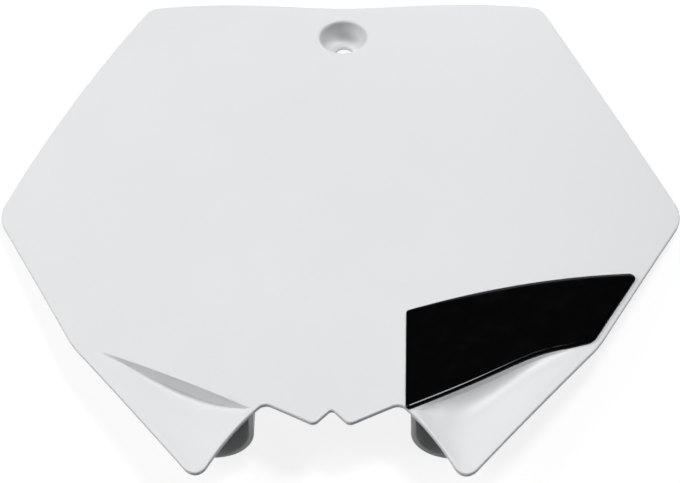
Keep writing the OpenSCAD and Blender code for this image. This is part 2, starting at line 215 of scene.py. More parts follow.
class PlateFinish(bpy.types.PropertyGroup):
    """Colours and surface of the two plastics."""

    white: colour("White", "Colour of the moulded plate", (0.79, 0.795, 0.80))
    white_shade: colour("White Shade", "Colour that the plate drifts towards", (0.76, 0.768, 0.775))
    white_rough: share("White Roughness", "Roughness of the moulded plate", 0.42)
    black: colour("Black", "Colour of the badge panel", (0.001, 0.001, 0.0012))
    black_shade: colour("Black Shade", "Colour that the panel drifts towards", (0.0016, 0.0016, 0.002))
    black_rough: share("Black Roughness", "Roughness of the badge panel", 0.09)
    floor: colour("Floor", "Colour of the floor", (0.35, 0.35, 0.35))


class StageSetup(bpy.types.PropertyGroup):
    """Camera, lights and floor."""

    azimuth: turned("Azimuth", "Camera's turn round the plate", 3.182)
    elevation: turned("Elevation", "Camera's height above the plate", 50)
    roll: turned("Roll", "Camera's roll", -2.385)
    aim: length("Aim", "How far below the face's highest point the camera looks", 0.0006)
    distance: length("Distance", "Distance from the camera to the point that it looks at", 1.0)
    lens: plain("Lens", "Focal length in millimetres", 134.47)
    shift: plain("Shift", "Sideways shift of the camera's frame", 0.00481)
    floor_size: length("Floor Size", "Width of the floor", 6.0)
    world: share("World Light", "Strength of the even light all round", 0.03)
    key_power: plain("Key Power", "Power of the key light on the left, in watts", 50.0)
    overhead_power: plain("Overhead Power", "Power of the overhead light in watts", 54.0)
    back_power: plain("Back Power", "Power of the light behind the plate's top, in watts", 13.0)


# Numbers of points along the parts of the outline's right half, from the notch to the side corner
NOTCH, TOOTH, TOOTH_SIDE, VALLEY, WING_INNER, TIP, WING_OUTER, BEND, LOWER_SIDE, SIDE = (
    5, 8, 5, 9, 12, 11, 24, 6, 16, 12
)
# Numbers of points along the top edge and round the top corner
TOP_EDGE, TOP_CORNER = 50, 8
# Numbers of points along the panel's long edges, round its inner corners and round its outer ones
PANEL_EDGE, PANEL_SMALL, PANEL_CORNER = 40, 6, 12
# Numbers of points round a socket, up each of its sides and along it, and across a gusset's edge
SOCKET_ARC, SOCKET_SIDE, SOCKET_ROWS, GUSSET_EDGE = 33, 3, 14, 9
# Steps of a rounded edge, and rings over each straight stretch of the recess
ROUND_STEPS, RING_STEPS = 4, 4
# Room between the cup's foot and the grid, in foot radii, and the further room below the cup
CUP_ROOM, LOWER_ROOM = 2.2, 0.001
# Height of the last face row above the bottom edge on the centre line, and how late it rises from there
# to the crease
MIDDLE_LIFT, LIFT_POWER = 0.0045, 4
# Where the line that carries the crease on ends in the last column, as a share of the way up, and how
# far down from that line the rows of the step reach
SIDE_LIFT, SIDE_FOOT = 0.3, 0.15
# Depth of the step from which the back's step is shifted in full
FULL_SHIFT_DEPTH = 0.001
# How much closer the wing's rows stand near the step, where 1 is not at all
WING_SPACING = 1.5
# Least number that an inset's distance is divided by at a sharp corner, so that its point stays near
SHARP_CORNER = 0.6
# Below these a line counts as running along the crease, and a point as lying on the wing's tip
ALONG_CREASE, ON_TIP = 1e-7, 1e-5
# Angles in degrees past which the edges of the plate and of the panel look sharp
PLATE_SHARP, PANEL_SHARP = 40, 50
# Usual range of a noise texture's values, and the shares of patches and specks in a drifting colour
NOISE_RANGE = (0.3, 0.7)
PATCH_SHARE, SPECK_SHARE = 0.7, 0.3
# How strongly shadows show on the floor, and how bright the lights make it where nothing shades it
SHADOW_SHARE, FLOOR_LIGHT = 0.2, 0.7
# Name, place from the point that the camera looks at, size, setting of the power, and colour
LIGHTS = (
    ("Key light", (-2.2, 0.0, 1.9), 1.4, "key_power", (1.0, 1.0, 0.995)),
    ("Overhead light", (0.8, 0.6, 2.85), 0.85, "overhead_power", (0.99, 0.995, 1.0)),
    ("Back light", (0.8, 2.5, 1.3), 1.6, "back_power", (0.985, 0.99, 1.0)),
)
# Colour of the even light all round
SKY = (0.985, 0.99, 1.0)


def unit(v):
    """Vectors divided by their own lengths."""
    return v / np.linalg.norm(v, axis=-1, keepdims=True)


def across(v):
    """Flat vectors turned a quarter turn to the left."""
    return np.stack([-v[..., 1], v[..., 0]], axis=-1)


def cross(a, b):
    """Cross product of flat vectors, as one number each."""
    return a[..., 0] * b[..., 1] - a[..., 1] * b[..., 0]


def mix(a, b, t):
    """Point at the share t of the way from a to b."""
    return a + (b - a) * t


def between(a, b, n):
    """List of n even steps from a to b, without a itself."""
    return [mix(a, b, t) for t in np.linspace(0, 1, n + 1)[1:]]


def quarter(steps):
    """Pairs of sine and 1 minus cosine over a quarter turn's angles, without the first angle."""
    angle = np.linspace(0, np.pi / 2, steps + 1)[1:]
    return list(zip(np.sin(angle), 1 - np.cos(angle)))


def fillet(before, corner, after, radius, n):
    """Arc of n points in a rounded corner.

    Its centre lies on the corner's bisector, radius / sin(half the corner's angle) away, and it turns
    from the foot on one side to the foot on the other.
    """
    u = unit(before - corner)
    w = unit(after - corner)
    half = np.arccos(u @ w) / 2
    middle = corner + unit(u + w) * radius / np.sin(half)
    start = corner + u * radius / np.tan(half) - middle
    end = corner + w * radius / np.tan(half) - middle
    turn = np.arctan2(cross(start, end), start @ end)
    angle = np.arctan2(start[1], start[0]) + turn * np.linspace(0, 1, n)
    return middle + radius * np.column_stack([np.cos(angle), np.sin(angle)])


def lean(p, control, q, n):
    """n points strictly between p and q, on the parabola that leans toward the control point."""
    t = np.arange(1, n + 1)[:, None] / (n + 1)
    return mix(mix(p, control, t), mix(control, q, t), t)


def line(p, q, n):
    """n points strictly between p and q on a straight line."""
    return lean(p, mix(p, q, 0.5), q, n)


def inset(loop, distance):
    """Closed counter-clockwise loop drawn in: each point moves along its corner's bisector."""
    before = across(unit(loop - np.roll(loop, 1, axis=0)))
    after = across(unit(np.roll(loop, -1, axis=0) - loop))
    inward = unit(before + after)
    reach = np.maximum(SHARP_CORNER, np.sum(inward * before, axis=1))
    return loop + inward * (distance / reach)[:, None]


def flipped(points):
    """Points mirrored over the centre line."""
    return points * np.array([-1.0] + [1.0] * (points.shape[-1] - 1))


def rim(grid):
    """Points round the edge of a grid, counter-clockwise from its lower left corner."""
    return np.concatenate([grid[:, -1], grid[-1, -2::-1], grid[-2::-1, 0], grid[0, 1:-1]])


class PlateShape:
    """Outline and surface of the plate's right or left half, both drawn on the right."""

    def __init__(self, scene, right=True):
        self.o = scene.plate_outline
        self.s = scene.plate_sheet
        self.c = scene.screw_cup
        self.crown_z = self.c.recess_h + self.s.crown_y**2 / (2 * self.s.bow_along)
        self.tip = np.array([self.o.tip_w / 2, self.o.tip_y])
        self.crease_inner = np.array([self.s.crease_inner_x, self.s.crease_inner_y])
        self.crease_outer = np.array([self.s.crease_outer_x, self.s.crease_outer_y])
        self.crease_l = np.linalg.norm(self.crease_outer - self.crease_inner)
        self.crease_dir = unit(self.crease_outer - self.crease_inner)
        self.crease_down = -across(self.crease_dir)
        self.crease_bow = self.s.right_bow if right else 0.0
        self.fill = self.s.right_fill if right else 0.0
        self.draw_outline(self.o.right_side_bow if right else self.o.side_bow)

    def draw_outline(self, side_bow):
        """Half of the outline: the bottom edge from the notch, and the top edge from its middle.

        Corners are arcs, the upper side is a parabola that bows outward, and the top edge is a cubic
        curve that dips at its middle.
        """
        o = self.o
        top_corner = np.array([o.top_w / 2, o.top_y])
        side = np.array([o.side_w / 2, o.side_y])
        bend = np.array([o.bend_w / 2, o.bend_y])
        valley = np.array([o.valley_w / 2, o.valley_y])
        tooth = np.array([o.tooth_w / 2, o.tooth_y])
        notch = np.array([0.0, o.notch_y])
        bow = mix(top_corner, side, 0.5) + across(unit(side - top_corner)) * 2 * side_bow
        side_arc = fillet(bow, side, bend, o.side_r, 2 * SIDE)
        notch_arc = fillet(flipped(tooth), notch, tooth, o.notch_r, 2 * NOTCH - 1)[NOTCH - 1 :]
        tooth_arc = fillet(notch, tooth, valley, o.tooth_r, TOOTH)
        wing_bow = mix(valley, self.tip, 0.5) + across(unit(self.tip - valley)) * 2 * o.wing_bow
        valley_arc = fillet(tooth, valley, wing_bow, o.valley_r, VALLEY)
        tip_arc = fillet(wing_bow, self.tip, bend, o.tip_r, TIP)
        bend_arc = fillet(self.tip, bend, side, o.bend_r, BEND)
        lower_side = side_arc[: SIDE - 1 : -1]
        self.bottom = np.concatenate([
            notch_arc,
            tooth_arc, line(tooth_arc[-1], valley_arc[0], TOOTH_SIDE),
            valley_arc, lean(valley_arc[-1], wing_bow, tip_arc[0], WING_INNER),
            tip_arc, line(tip_arc[-1], bend_arc[0], WING_OUTER),
            bend_arc, line(bend_arc[-1], lower_side[0], LOWER_SIDE),
            lower_side,
        ])
        self.columns = len(self.bottom)
        self.wing_first = NOTCH - 1 + TOOTH + TOOTH_SIDE + VALLEY
        self.wing_last = self.wing_first + WING_INNER + TIP + WING_OUTER + 1
        top_lean = np.array([o.top_w * o.top_rise, o.top_y - o.top_fall])
        corner_arc = fillet(top_lean, top_corner, bow, o.top_r, TOP_CORNER)
        t = np.arange(TOP_EDGE)[:, None] / TOP_EDGE
        dip = np.array([o.top_w * o.top_flat, o.top_mid_y])
        middle = mix(dip, top_lean, t)
        self.top = np.concatenate([
            mix(mix(mix(np.array([0.0, o.top_mid_y]), dip, t), middle, t),
                mix(middle, mix(top_lean, corner_arc[0], t), t), t),
            corner_arc,
            lean(corner_arc[-1], bow, side_arc[0], self.columns - TOP_EDGE - TOP_CORNER - SIDE),
            side_arc[:SIDE],
        ])
        self.loop = np.concatenate([
            self.bottom, self.top[::-1], flipped(self.top[1:]), flipped(self.bottom[:0:-1]),
        ])

    def face_z(self, p):
        """Height of the face: two shallow parabolas, across and along the plate."""
        return (
            self.crown_z
            - p[..., 0] ** 2 / (2 * self.s.bow_across)
            - (p[..., 1] - self.s.crown_y) ** 2 / (2 * self.s.bow_along)
        )

    def surface(self, p, drop, depth):
        """Points at a depth under the face, measured square to it, and lowered by the drop."""
        slope = np.stack([
            p[..., 0] / self.s.bow_across,
            (p[..., 1] - self.s.crown_y) / self.s.bow_along,
            np.ones(p.shape[:-1]),
        ], axis=-1)
        on_face = np.concatenate([p, (self.face_z(p) - drop)[..., None]], axis=-1)
        return on_face - depth * unit(slope)

    def step_depth(self, along):
        """Depth of the step along the crease: a sine that swells early and dies away outward."""
        along = np.clip(along, 0, 1)
        return self.s.step_h * np.maximum(0, np.sin(np.pi * along**self.s.step_lean)) ** self.s.step_taper

    def crease_at(self, along):
        """Points on the crease. Its bow is a sine that leans toward the outer end."""
        swell = np.sin(np.pi * np.clip(along, 0, 1) ** self.s.bow_lean)
        return mix(self.crease_inner, self.crease_outer, along) - self.crease_down * self.crease_bow * swell

    def scoop(self, p):
        """Depth of the wing under the face.

        Straight lines run from the tip to the foot of the step, so the depth at a point is the step's
        depth where its line meets the crease, divided by how far up that line the crease lies.
        """
        ray = p - self.tip
        foot = self.crease_inner - self.tip
        slant = cross(ray, self.crease_dir)
        slant = np.where(np.abs(slant) < ALONG_CREASE, ALONG_CREASE, slant)
        along = cross(foot, ray) / slant / self.crease_l
        reach = cross(foot, self.crease_dir) / slant
        far = np.linalg.norm(ray, axis=-1) > ON_TIP
        return np.where(far, self.step_depth(along) / np.maximum(1, reach), 0)

    def in_wing(self):
        """Which columns hang from the crease."""
        i = np.arange(self.columns)
        return (i > self.wing_first) & (i < self.wing_last)

    def crease_points(self, heads, feet):
        """Where each column meets the crease, or the line that carries the crease on past its ends."""
        first, end = self.wing_first, self.wing_last
        i = np.arange(self.columns)[:, None]
        middle = np.array([0, MIDDLE_LIFT])
        lift = mix(middle, self.crease_inner - self.bottom[first], (i / first) ** LIFT_POWER)
        along = self.crease_at((i - first) / (end - first))
        columns_left = (self.columns - 1 - i) / (self.columns - 1 - end)
        past = mix(feet, heads, (1 - columns_left) * SIDE_LIFT)
        past += (self.crease_outer - self.bottom[end]) * columns_left
        return np.where(i <= first, self.bottom + lift, np.where(i < end, along, past))

    def half_grid(self, edge_inset, back_shift):
        """Half of the plate as columns of flat points, drawn in from the outline.

        Each column runs straight from the top edge to the crease, over the step, and straight on to
        the bottom edge. The step on the back is shifted up, so its wall is as thick as the sheet.
        """
        s = self.s
        loop = inset(self.loop, edge_inset) if edge_inset else self.loop
        feet = loop[: self.columns]
        heads = loop[self.columns : 2 * self.columns][::-1]
        inside = self.in_wing()[:, None]
        i = np.arange(self.columns)[:, None]
        along = (i - self.wing_first) / (self.wing_last - self.wing_first)
        shift = -self.crease_down * back_shift * np.minimum(1, self.step_depth(along) / FULL_SHIFT_DEPTH)
        crease = self.crease_points(heads, feet) + np.where(inside, shift, 0)
        foot = np.where(inside, crease + self.crease_down * s.step_run, mix(crease, feet, SIDE_FOOT))
        face = np.linspace(0, 1, s.face_rows + 1)[None, :, None]
        step = self.step_shares()[None, :, None]
        wing = self.wing_shares()[None, :, None]
        return np.concatenate([
            mix(heads[:, None], crease[:, None], face),
            mix(crease[:, None], foot[:, None], step),
            mix(foot[:, None], feet[:, None], wing),
        ], axis=1)

    def step_shares(self):
        """How far down the step's run each of its rows lies."""
        return np.linspace(0, 1, self.s.step_rows + 1)[1:]

    def wing_shares(self):
        """How far down the wing each of its rows lies. They stand closer near the step."""
        return np.linspace(0, 1, self.s.wing_rows + 1)[1:] ** WING_SPACING

    def drops(self, grid):
        """Depth of each point of a half under the face.

        It is nothing above the crease, a smooth rise over the step, and the scoop below it, less a
        filled share that fades with the cube of the width that is left.
        """
        u = self.step_shares()
        above = np.concatenate([np.zeros(self.s.face_rows + 1), u**2 * (3 - 2 * u) * (1 - self.fill)])
        below = np.linalg.norm(grid - grid[:, len(above) - 1, None], axis=-1)[:, len(above) :]
        width_left = np.maximum(0, 1 - below / np.minimum(self.s.fill_run, below[:, -1:]))
        rise = np.concatenate([np.tile(above, (self.columns, 1)), 1 - self.fill * width_left**3], axis=1)
        return self.scoop(grid) * rise * self.in_wing()[:, None]


def whole(left, right):
    """Grid of the whole plate from its left half, drawn on the right, and its right half."""
    mirrored = flipped(left) if left.ndim == 3 else left
    return np.concatenate([mirrored[:0:-1], right])


def grid_faces(columns, rows, start, front):
    """Four-sided faces of a grid, facing the front or the back."""
    a = start + np.arange(columns - 1)[:, None] * rows + np.arange(rows - 1)[None, :]
    corners = [a, a + 1, a + rows + 1, a + rows] if front else [a, a + rows, a + rows + 1, a + 1]
    return np.stack(corners, axis=-1)


def band_faces(first, second, towards_front):
    """Four-sided faces between two closed rows of point numbers."""
    first_next = np.roll(first, -1)
    second_next = np.roll(second, -1)
    if towards_front:
        return np.column_stack([first, first_next, second_next, second])
    return np.column_stack([first, second, second_next, first_next])


def add_rings(points, faces, rings, first, last, towards_front):
    """Adds rings of points, and the bands of faces that lead over them from one closed row of point
    numbers to another."""
    start = sum(len(p) for p in points)
    before = first
    for ring in rings:
        here = start + np.arange(len(ring))
        start += len(ring)
        points.append(ring)
        faces.append(band_faces(before, here, towards_front))
        before = here
    faces.append(band_faces(before, last, towards_front))


def new_piece(name, vertices, faces):
    """Object at the origin from arrays of points and faces, without the points that no face uses."""
    used = np.unique(np.concatenate([np.ravel(f) for f in faces]))
    number = np.full(len(vertices), -1)
    number[used] = np.arange(len(used))
    mesh = bpy.data.meshes.new(name)
    corners = [row for f in faces for row in number[np.array(f)].tolist()]
    mesh.from_pydata(vertices[used].tolist(), [], corners)
    mesh.validate()
    piece = bpy.data.objects.new(name, mesh)
    bpy.context.scene.collection.objects.link(piece)
    return piece


def smooth(piece, degrees):
    """Smooth shading with sharp edges past an angle."""
    piece.data.shade_smooth()
    piece.data.set_sharp_from_angle(angle=math.radians(degrees))


def slab_layers(shape, rule):
    """Grid in front, rims of the rings round the edge and grid at the back, as points in space."""
    layers = [shape.surface(grid, drop, depth) for grid, drop, depth in rule]
    return layers[0], [rim(layer) for layer in layers[1:-1]], layers[-1]


def sheet_layers(left, right):
    """Layers of the sheet. The edge is a quarter circle on both sides: the inset shrinks with the
    sine of the angle while the depth grows with 1 minus its cosine."""
    s = right.s

    def plate(edge_inset, back_shift=0.0):
        return whole(left.half_grid(edge_inset, back_shift), right.half_grid(edge_inset, back_shift))

    drop = whole(*[half.drops(half.half_grid(s.edge_r, 0.0)) for half in (left, right)])
    rule = [(plate(s.edge_r), drop, 0.0)]
    for sine, rise in quarter(ROUND_STEPS):
        rule.append((plate(s.edge_r * (1 - sine)), drop, s.edge_r * rise))
    for sine, rise in quarter(ROUND_STEPS)[::-1]:
        rule.append((plate(s.edge_r * (1 - sine)), drop, s.thickness - s.edge_r * rise))
    rule.append((plate(s.edge_r, s.thickness), drop, s.thickness))
    return slab_layers(right, rule)


def cup_rings(shape, front_loop, back_loop):
    """Rings that carry a profile round the screw hole, from the face to the sheet's back.

    The profile goes in over the rounded lip, down the drafted wall, over the floor and through the
    hole, and comes back along the cup's underside, up its outer wall and over the foot's radius.
    """
    c = shape.c
    direction = unit(front_loop[:, :2])
    slant = math.tan(c.draft)
    rim_r = c.recess_r + c.recess_h * slant
    cup_r = rim_r + c.wall
    base_r = cup_r - (c.recess_h + c.floor) * slant
    back_t = shape.s.thickness

    def ring(radius, height):
        return np.column_stack([direction * radius, np.broadcast_to(height, len(direction))])

    def under(radius, depth):
        return ring(radius, shape.face_z(direction * radius) - depth)

    turn = quarter(ROUND_STEPS + 1)
    edge = direction * (rim_r + c.lip_r)
    stretch = between(front_loop[:, :2], edge, RING_STEPS)
    rings = [np.column_stack([p, shape.face_z(p)]) for p in stretch]
    rings += [under(rim_r + c.lip_r * (1 - sine), c.lip_r * rise) for sine, rise in turn]
    rings += between(rings[-1], ring(c.recess_r, c.floor_r), RING_STEPS)
    rings += [ring(c.recess_r - c.floor_r * rise, c.floor_r * (1 - sine)) for sine, rise in turn]
    rings += [
        ring(mix(c.recess_r - c.floor_r, c.hole_r + c.chamfer, 0.5), 0.0),
        ring(c.hole_r + c.chamfer, 0.0),
        ring(c.hole_r, -c.chamfer),
        ring(c.hole_r, c.chamfer - c.floor),
        ring(c.hole_r + c.chamfer, -c.floor),
        ring(mix(base_r, c.hole_r, 0.5), -c.floor),
        ring(base_r - c.foot_r, -c.floor),
    ]
    rings += [ring(base_r - c.foot_r * (1 - sine), c.foot_r * rise - c.floor) for sine, rise in turn]
    rings += between(rings[-1], under(cup_r, back_t + c.foot_r), 2)
    rings += [under(cup_r + c.foot_r * rise, back_t + c.foot_r * (1 - sine)) for sine, rise in turn]
    return rings + between(rings[-1], back_loop, 3)[:-1]


def build_sheet(left, right):
    """Closed sheet with the screw cup carried round a hole that is left out of both grids."""
    front, edge_rings, back = sheet_layers(left, right)
    columns, rows = front.shape[:2]
    total = columns * rows
    middle = columns // 2
    clear = right.c.recess_r + right.c.wall + CUP_ROOM * right.c.foot_r
    reach = int(np.argmax(front[middle:, 0, 0] > clear))
    lower = int(np.argmax(front[middle, :, 1] < -clear - LOWER_ROOM))
    block = np.s_[middle - reach : middle + reach + 1, 1 : lower + 1]
    kept = np.ones((columns - 1, rows - 1), bool)
    kept[middle - reach : middle + reach, 1:lower] = False
    faces = [grid_faces(columns, rows, 0, True)[kept], grid_faces(columns, rows, total, False)[kept]]
    points = [front.reshape(-1, 3), back.reshape(-1, 3)]
    numbers = np.arange(total).reshape(columns, rows)
    edge = rim(numbers)
    add_rings(points, faces, edge_rings, edge, edge + total, False)
    rings = cup_rings(right, rim(front[block]), rim(back[block]))
    edge = rim(numbers[block])
    add_rings(points, faces, rings, edge, edge + total, True)
    return new_piece("moulded_plate", np.concatenate(points), faces)


def gusset_mesh(shape, angle):
    """Web between cup and sheet: its free edge is a half circle across the web, carried along the
    slanting line from the cup's wall to the sheet's back."""
    c = shape.c
    cup_r = c.recess_r + c.recess_h * math.tan(c.draft) + c.wall
    inner = cup_r - c.wall / 2
    outer = cup_r + c.gusset_run
    turn = np.array([math.cos(angle), math.sin(angle)])
    top_in = shape.face_z(inner * turn) - shape.s.thickness / 2
    top_out = shape.face_z(outer * turn) - shape.s.thickness / 2
    a = np.linspace(-np.pi / 2, np.pi / 2, GUSSET_EDGE)
    side = np.sin(a) * c.gusset_t / 2
    lift = (1 - np.cos(a)) * c.gusset_t / 2
    foot = np.column_stack([np.full(len(a), inner), side, lift])
    head = np.column_stack([outer - lift, side, np.full(len(a), top_out)])
    root = np.array([[inner, side[0], top_in], [inner, side[-1], top_in]])
    local = np.concatenate([foot, head, root])
    n = len(a)
    k = np.arange(n - 1)
    web = np.column_stack([k, k + 1, k + n + 1, k + n])
    ends = [
        [0, n, 2 * n],
        [n - 1, 2 * n + 1, 2 * n - 1],
        list(range(n - 1, -1, -1)) + [2 * n, 2 * n + 1],
        list(range(n, 2 * n)) + [2 * n + 1, 2 * n],
    ]
    flat = local[:, :1] * turn + local[:, 1:2] * across(turn)
    return np.column_stack([flat, local[:, 2]]), web, ends


def socket_section(shape, pair, radius, y):
    """Row of points across a socket: down a straight side, round a half circle and up the other side.

    The sides end in the middle of the sheet. Near the mouth, the side toward the centre line lies back.
    """
    middle_t = shape.s.thickness / 2
    centre_z = shape.crown_z - pair.drop
    angle = np.linspace(0, np.pi, SOCKET_ARC)
    side = np.full(SOCKET_SIDE, radius)
    up = np.linspace(1, 0, SOCKET_SIDE + 1)[:-1]
    up = np.concatenate([up, np.zeros(SOCKET_ARC), up[::-1]])
    x = pair.x + np.concatenate([-side, -np.cos(angle) * radius, side])
    low = centre_z - np.concatenate([side * 0, np.sin(angle) * radius, side * 0])
    near_mouth = max(0, 1 - (y - pair.mouth_y) / pair.back_run)
    top = np.column_stack([x, y + pair.set_back * near_mouth * np.where(x < pair.x, up, 0)])
    along = (top - shape.crease_inner) @ shape.crease_dir / shape.crease_l
    under_crease = cross(top - shape.crease_at(along[:, None]), shape.crease_dir) > -middle_t
    sheet_z = shape.face_z(top) - middle_t - shape.scoop(top) * under_crease
    return np.column_stack([top, mix(low, np.maximum(sheet_z, centre_z), up)])


def socket_faces(n, outer_n, inner_n):
    """Faces of a socket from the numbers of points in a section and of sections outside and inside."""
    inside = outer_n * n
    last = (outer_n - 1) * n
    floor = inside + (inner_n - 1) * n
    e = n - 1
    k = np.arange(n - 1)
    s = np.arange(inner_n - 1) * n
    ends = np.arange(inner_n - 1, outer_n) * n
    walls = [grid_faces(outer_n, n, 0, False), grid_faces(inner_n, n, inside, True)]
    mouth = [k, k + 1, inside + k + 1, inside + k]
    closed_end = last + np.arange(n)[::-1]
    closed_floor = floor + np.arange(n)
    one_top = [s, inside + s, inside + s + n, s + n]
    other_top = [s + e, s + n + e, inside + s + n + e, inside + s + e]
    lid = [floor, floor + e, *(ends + e), *ends[::-1]]
    faces = [wall.reshape(-1, 4) for wall in walls]
    faces += [np.column_stack(strip) for strip in (mouth, one_top, other_top)]
    return faces + [np.array([loop]) for loop in (closed_end, closed_floor, lid)]


def socket_mesh(shape, pair, mirrored):
    """Half round tube along the plate, with a closed upper end and rounded rims.

    Over a rim, the radius changes with 1 minus the cosine of the angle while the tube grows longer
    with its sine.
    """
    top_y = pair.mouth_y + pair.run
    outer_r, inner_r = pair.outer_r, pair.outer_r - pair.wall

    def sections(radius, heights):
        return [socket_section(shape, pair, radius, y) for y in heights]

    def rounded(radius, swell, end_y, inward):
        return [
            socket_section(
                shape, pair, radius + swell * pair.rim_r * rise, end_y + inward * pair.rim_r * (1 - sine)
            )
            for sine, rise in quarter(ROUND_STEPS)[::-1]
        ]

    straight = np.linspace(pair.mouth_y + pair.rim_r, top_y - pair.wall, SOCKET_ROWS)
    outer = rounded(outer_r, -1, pair.mouth_y, 1) + sections(outer_r, [*straight, top_y - pair.rim_r])
    outer += rounded(outer_r, -1, top_y, -1)[::-1]
    inner = rounded(inner_r, 1, pair.mouth_y, 1) + sections(inner_r, straight)
    points = np.concatenate(outer + inner)
    faces = socket_faces(len(outer[0]), len(outer), len(inner))
    if mirrored:
        return flipped(points), [f[:, ::-1] for f in faces]
    return points, faces


def build_fittings(left, right, pair):
    """Gussets and sockets as closed shells in one object, ready to be joined to the sheet."""
    points, faces, start = [], [], 0
    for angle in (np.arange(right.c.gussets) + 0.5) * 2 * np.pi / right.c.gussets:
        p, web, ends = gusset_mesh(right, angle)
        points.append(p)
        faces += [web + start] + [np.array([end]) + start for end in ends]
        start += len(p)
    for half, mirrored in ((right, False), (left, True)):
        p, parts = socket_mesh(half, pair, mirrored)
        points.append(p)
        faces += [f + start for f in parts]
        start += len(p)
    return new_piece("fittings", np.concatenate(points), faces)


def join(piece, other):
    """Union of two closed pieces, left in the first one."""
    union = piece.modifiers.new("Join", "BOOLEAN")
    union.operation = "UNION"
    union.solver = "EXACT"
    union.object = other
    evaluated = piece.evaluated_get(bpy.context.evaluated_depsgraph_get())
    joined = bpy.data.meshes.new_from_object(evaluated)
    joined.name = piece.name
    piece.modifiers.clear()
    piece.data = joined
    bpy.data.objects.remove(other)


def panel_layers(shape, panel):
    """Layers of the badge panel. Its bottom edge runs along the crease, its top edge bows upward, and
    the grid's columns run straight between them."""
    lift = -shape.crease_down * panel.gap
    along = np.linspace(panel.crease_from, panel.crease_to, PANEL_EDGE)[:, None]
    beside_crease = shape.crease_at(along) + lift
    back = (panel.inner_x - shape.crease_inner[0] - lift[0]) / shape.crease_dir[0]
    lower_inner = shape.crease_inner + lift + shape.crease_dir * back
    lower_outer = np.array([panel.foot_x, panel.foot_y])
    upper_inner = np.array([panel.inner_x, panel.inner_top_y])
    upper_outer = np.array([panel.outer_x, panel.outer_top_y])
    bow = mix(upper_inner, upper_outer, 0.5) + across(unit(upper_outer - upper_inner)) * 2 * panel.bow
    inner_foot = fillet(upper_inner, lower_inner, beside_crease[0], panel.small_r, PANEL_SMALL)
    outer_foot = fillet(beside_crease[-1], lower_outer, upper_outer, panel.corner_r, PANEL_CORNER)
    bottom = np.concatenate([inner_foot, beside_crease, outer_foot])
    inner_head = fillet(bow, upper_inner, lower_inner, panel.small_r, PANEL_SMALL)[::-1]
    outer_head = fillet(bow, upper_outer, lower_outer, panel.outer_r, PANEL_CORNER)
    top = np.concatenate([inner_head, lean(inner_head[-1], bow, outer_head[0], PANEL_EDGE), outer_head])
    loop = np.concatenate([bottom, top[::-1]])
    t = np.linspace(0, 1, panel.rows + 1)[None, :, None]

    def grid(distance):
        drawn = inset(loop, distance) if distance else loop
        feet, heads = drawn[: len(bottom)], drawn[len(bottom) :][::-1]
        return mix(heads[:, None], feet[:, None], t)

    flat = np.zeros((len(bottom), panel.rows + 1))
    rule = [(grid(panel.edge_w), flat, -panel.thickness)]
    for sine, rise in quarter(2 * ROUND_STEPS):
        rule.append((grid(panel.edge_w * (1 - sine)), flat, panel.edge_h * rise - panel.thickness))
    rule.append((grid(0), flat, -panel.seat_gap))
    return slab_layers(shape, rule)


def build_panel(shape, panel):
    """Closed panel: the front grid, the rings of its rounded edge and the back grid."""
    front, edge_rings, back = panel_layers(shape, panel)
    columns, rows = front.shape[:2]
    total = columns * rows
    points = [front.reshape(-1, 3), back.reshape(-1, 3)]
    faces = [
        grid_faces(columns, rows, 0, True).reshape(-1, 4),
        grid_faces(columns, rows, total, False).reshape(-1, 4),
    ]
    edge = rim(np.arange(total).reshape(columns, rows))
    add_rings(points, faces, edge_rings, edge, edge + total, False)
    return new_piece("glossy_badge_panel", np.concatenate(points), faces)


def fill(node, values):
    """Gives a node's inputs their values: a number or a colour is set, and a socket is linked."""
    for key, value in values.items():
        if isinstance(value, bpy.types.NodeSocket):
            node.id_data.links.new(value, node.inputs[key])
        else:
            node.inputs[key].default_value = value


def add_node(tree, kind, values, **settings):
    """Outputs of a new node with these settings and inputs."""
    node = tree.nodes.new(kind)
    for key, value in settings.items():
        setattr(node, key, value)
    fill(node, values)
    return node.outputs


def node_group(name, inputs, outputs):
    """Empty shader group with named sockets, the sockets of its inputs, and its output node."""
    group = bpy.data.node_groups.new(name, "ShaderNodeTree")
    for label, default in inputs.items():
        kind = "NodeSocketFloat" if isinstance(default, float) else "NodeSocketColor"
        group.interface.new_socket(name=label, in_out="INPUT", socket_type=kind).default_value = default
    for label, kind in outputs.items():
        group.interface.new_socket(name=label, in_out="OUTPUT", socket_type=kind)
    return group, group.nodes.new("NodeGroupInput").outputs, group.nodes.new("NodeGroupOutput")


def noise(tree, vector, scale, detail):
    """Noise texture over the given coordinates."""
    return add_node(tree, "ShaderNodeTexNoise", {"Vector": vector, "Scale": scale, "Detail": detail})["Fac"]


def spread(tree, value, low, high):
    """Noise value stretched from its usual range to the range from low to high."""
    values = {"Value": value, "To Min": low, "To Max": high}
    values["From Min"], values["From Max"] = NOISE_RANGE
    return add_node(tree, "ShaderNodeMapRange", values)["Result"]


def surface_grain():
    """Group: fine moulded grain and slower waves as a height, and a roughness that drifts with them."""
    group, given, result = node_group(
        "Surface Grain",
        {"Grain Scale": 1500.0, "Wave Scale": 60.0, "Wave Share": 0.3, "Smooth": 0.3, "Rough": 0.5},
        {"Height": "NodeSocketFloat", "Roughness": "NodeSocketFloat"},
    )
    place = add_node(group, "ShaderNodeTexCoord", {})["Object"]
    fine = noise(group, place, given["Grain Scale"], 3)
    slow = noise(group, place, given["Wave Scale"], 2)
    height = add_node(group, "ShaderNodeMix", {"Factor": given["Wave Share"], "A": fine, "B": slow})
    drift = spread(group, slow, given["Smooth"], given["Rough"])
    fill(result, {"Height": height["Result"], "Roughness": drift})
    return group


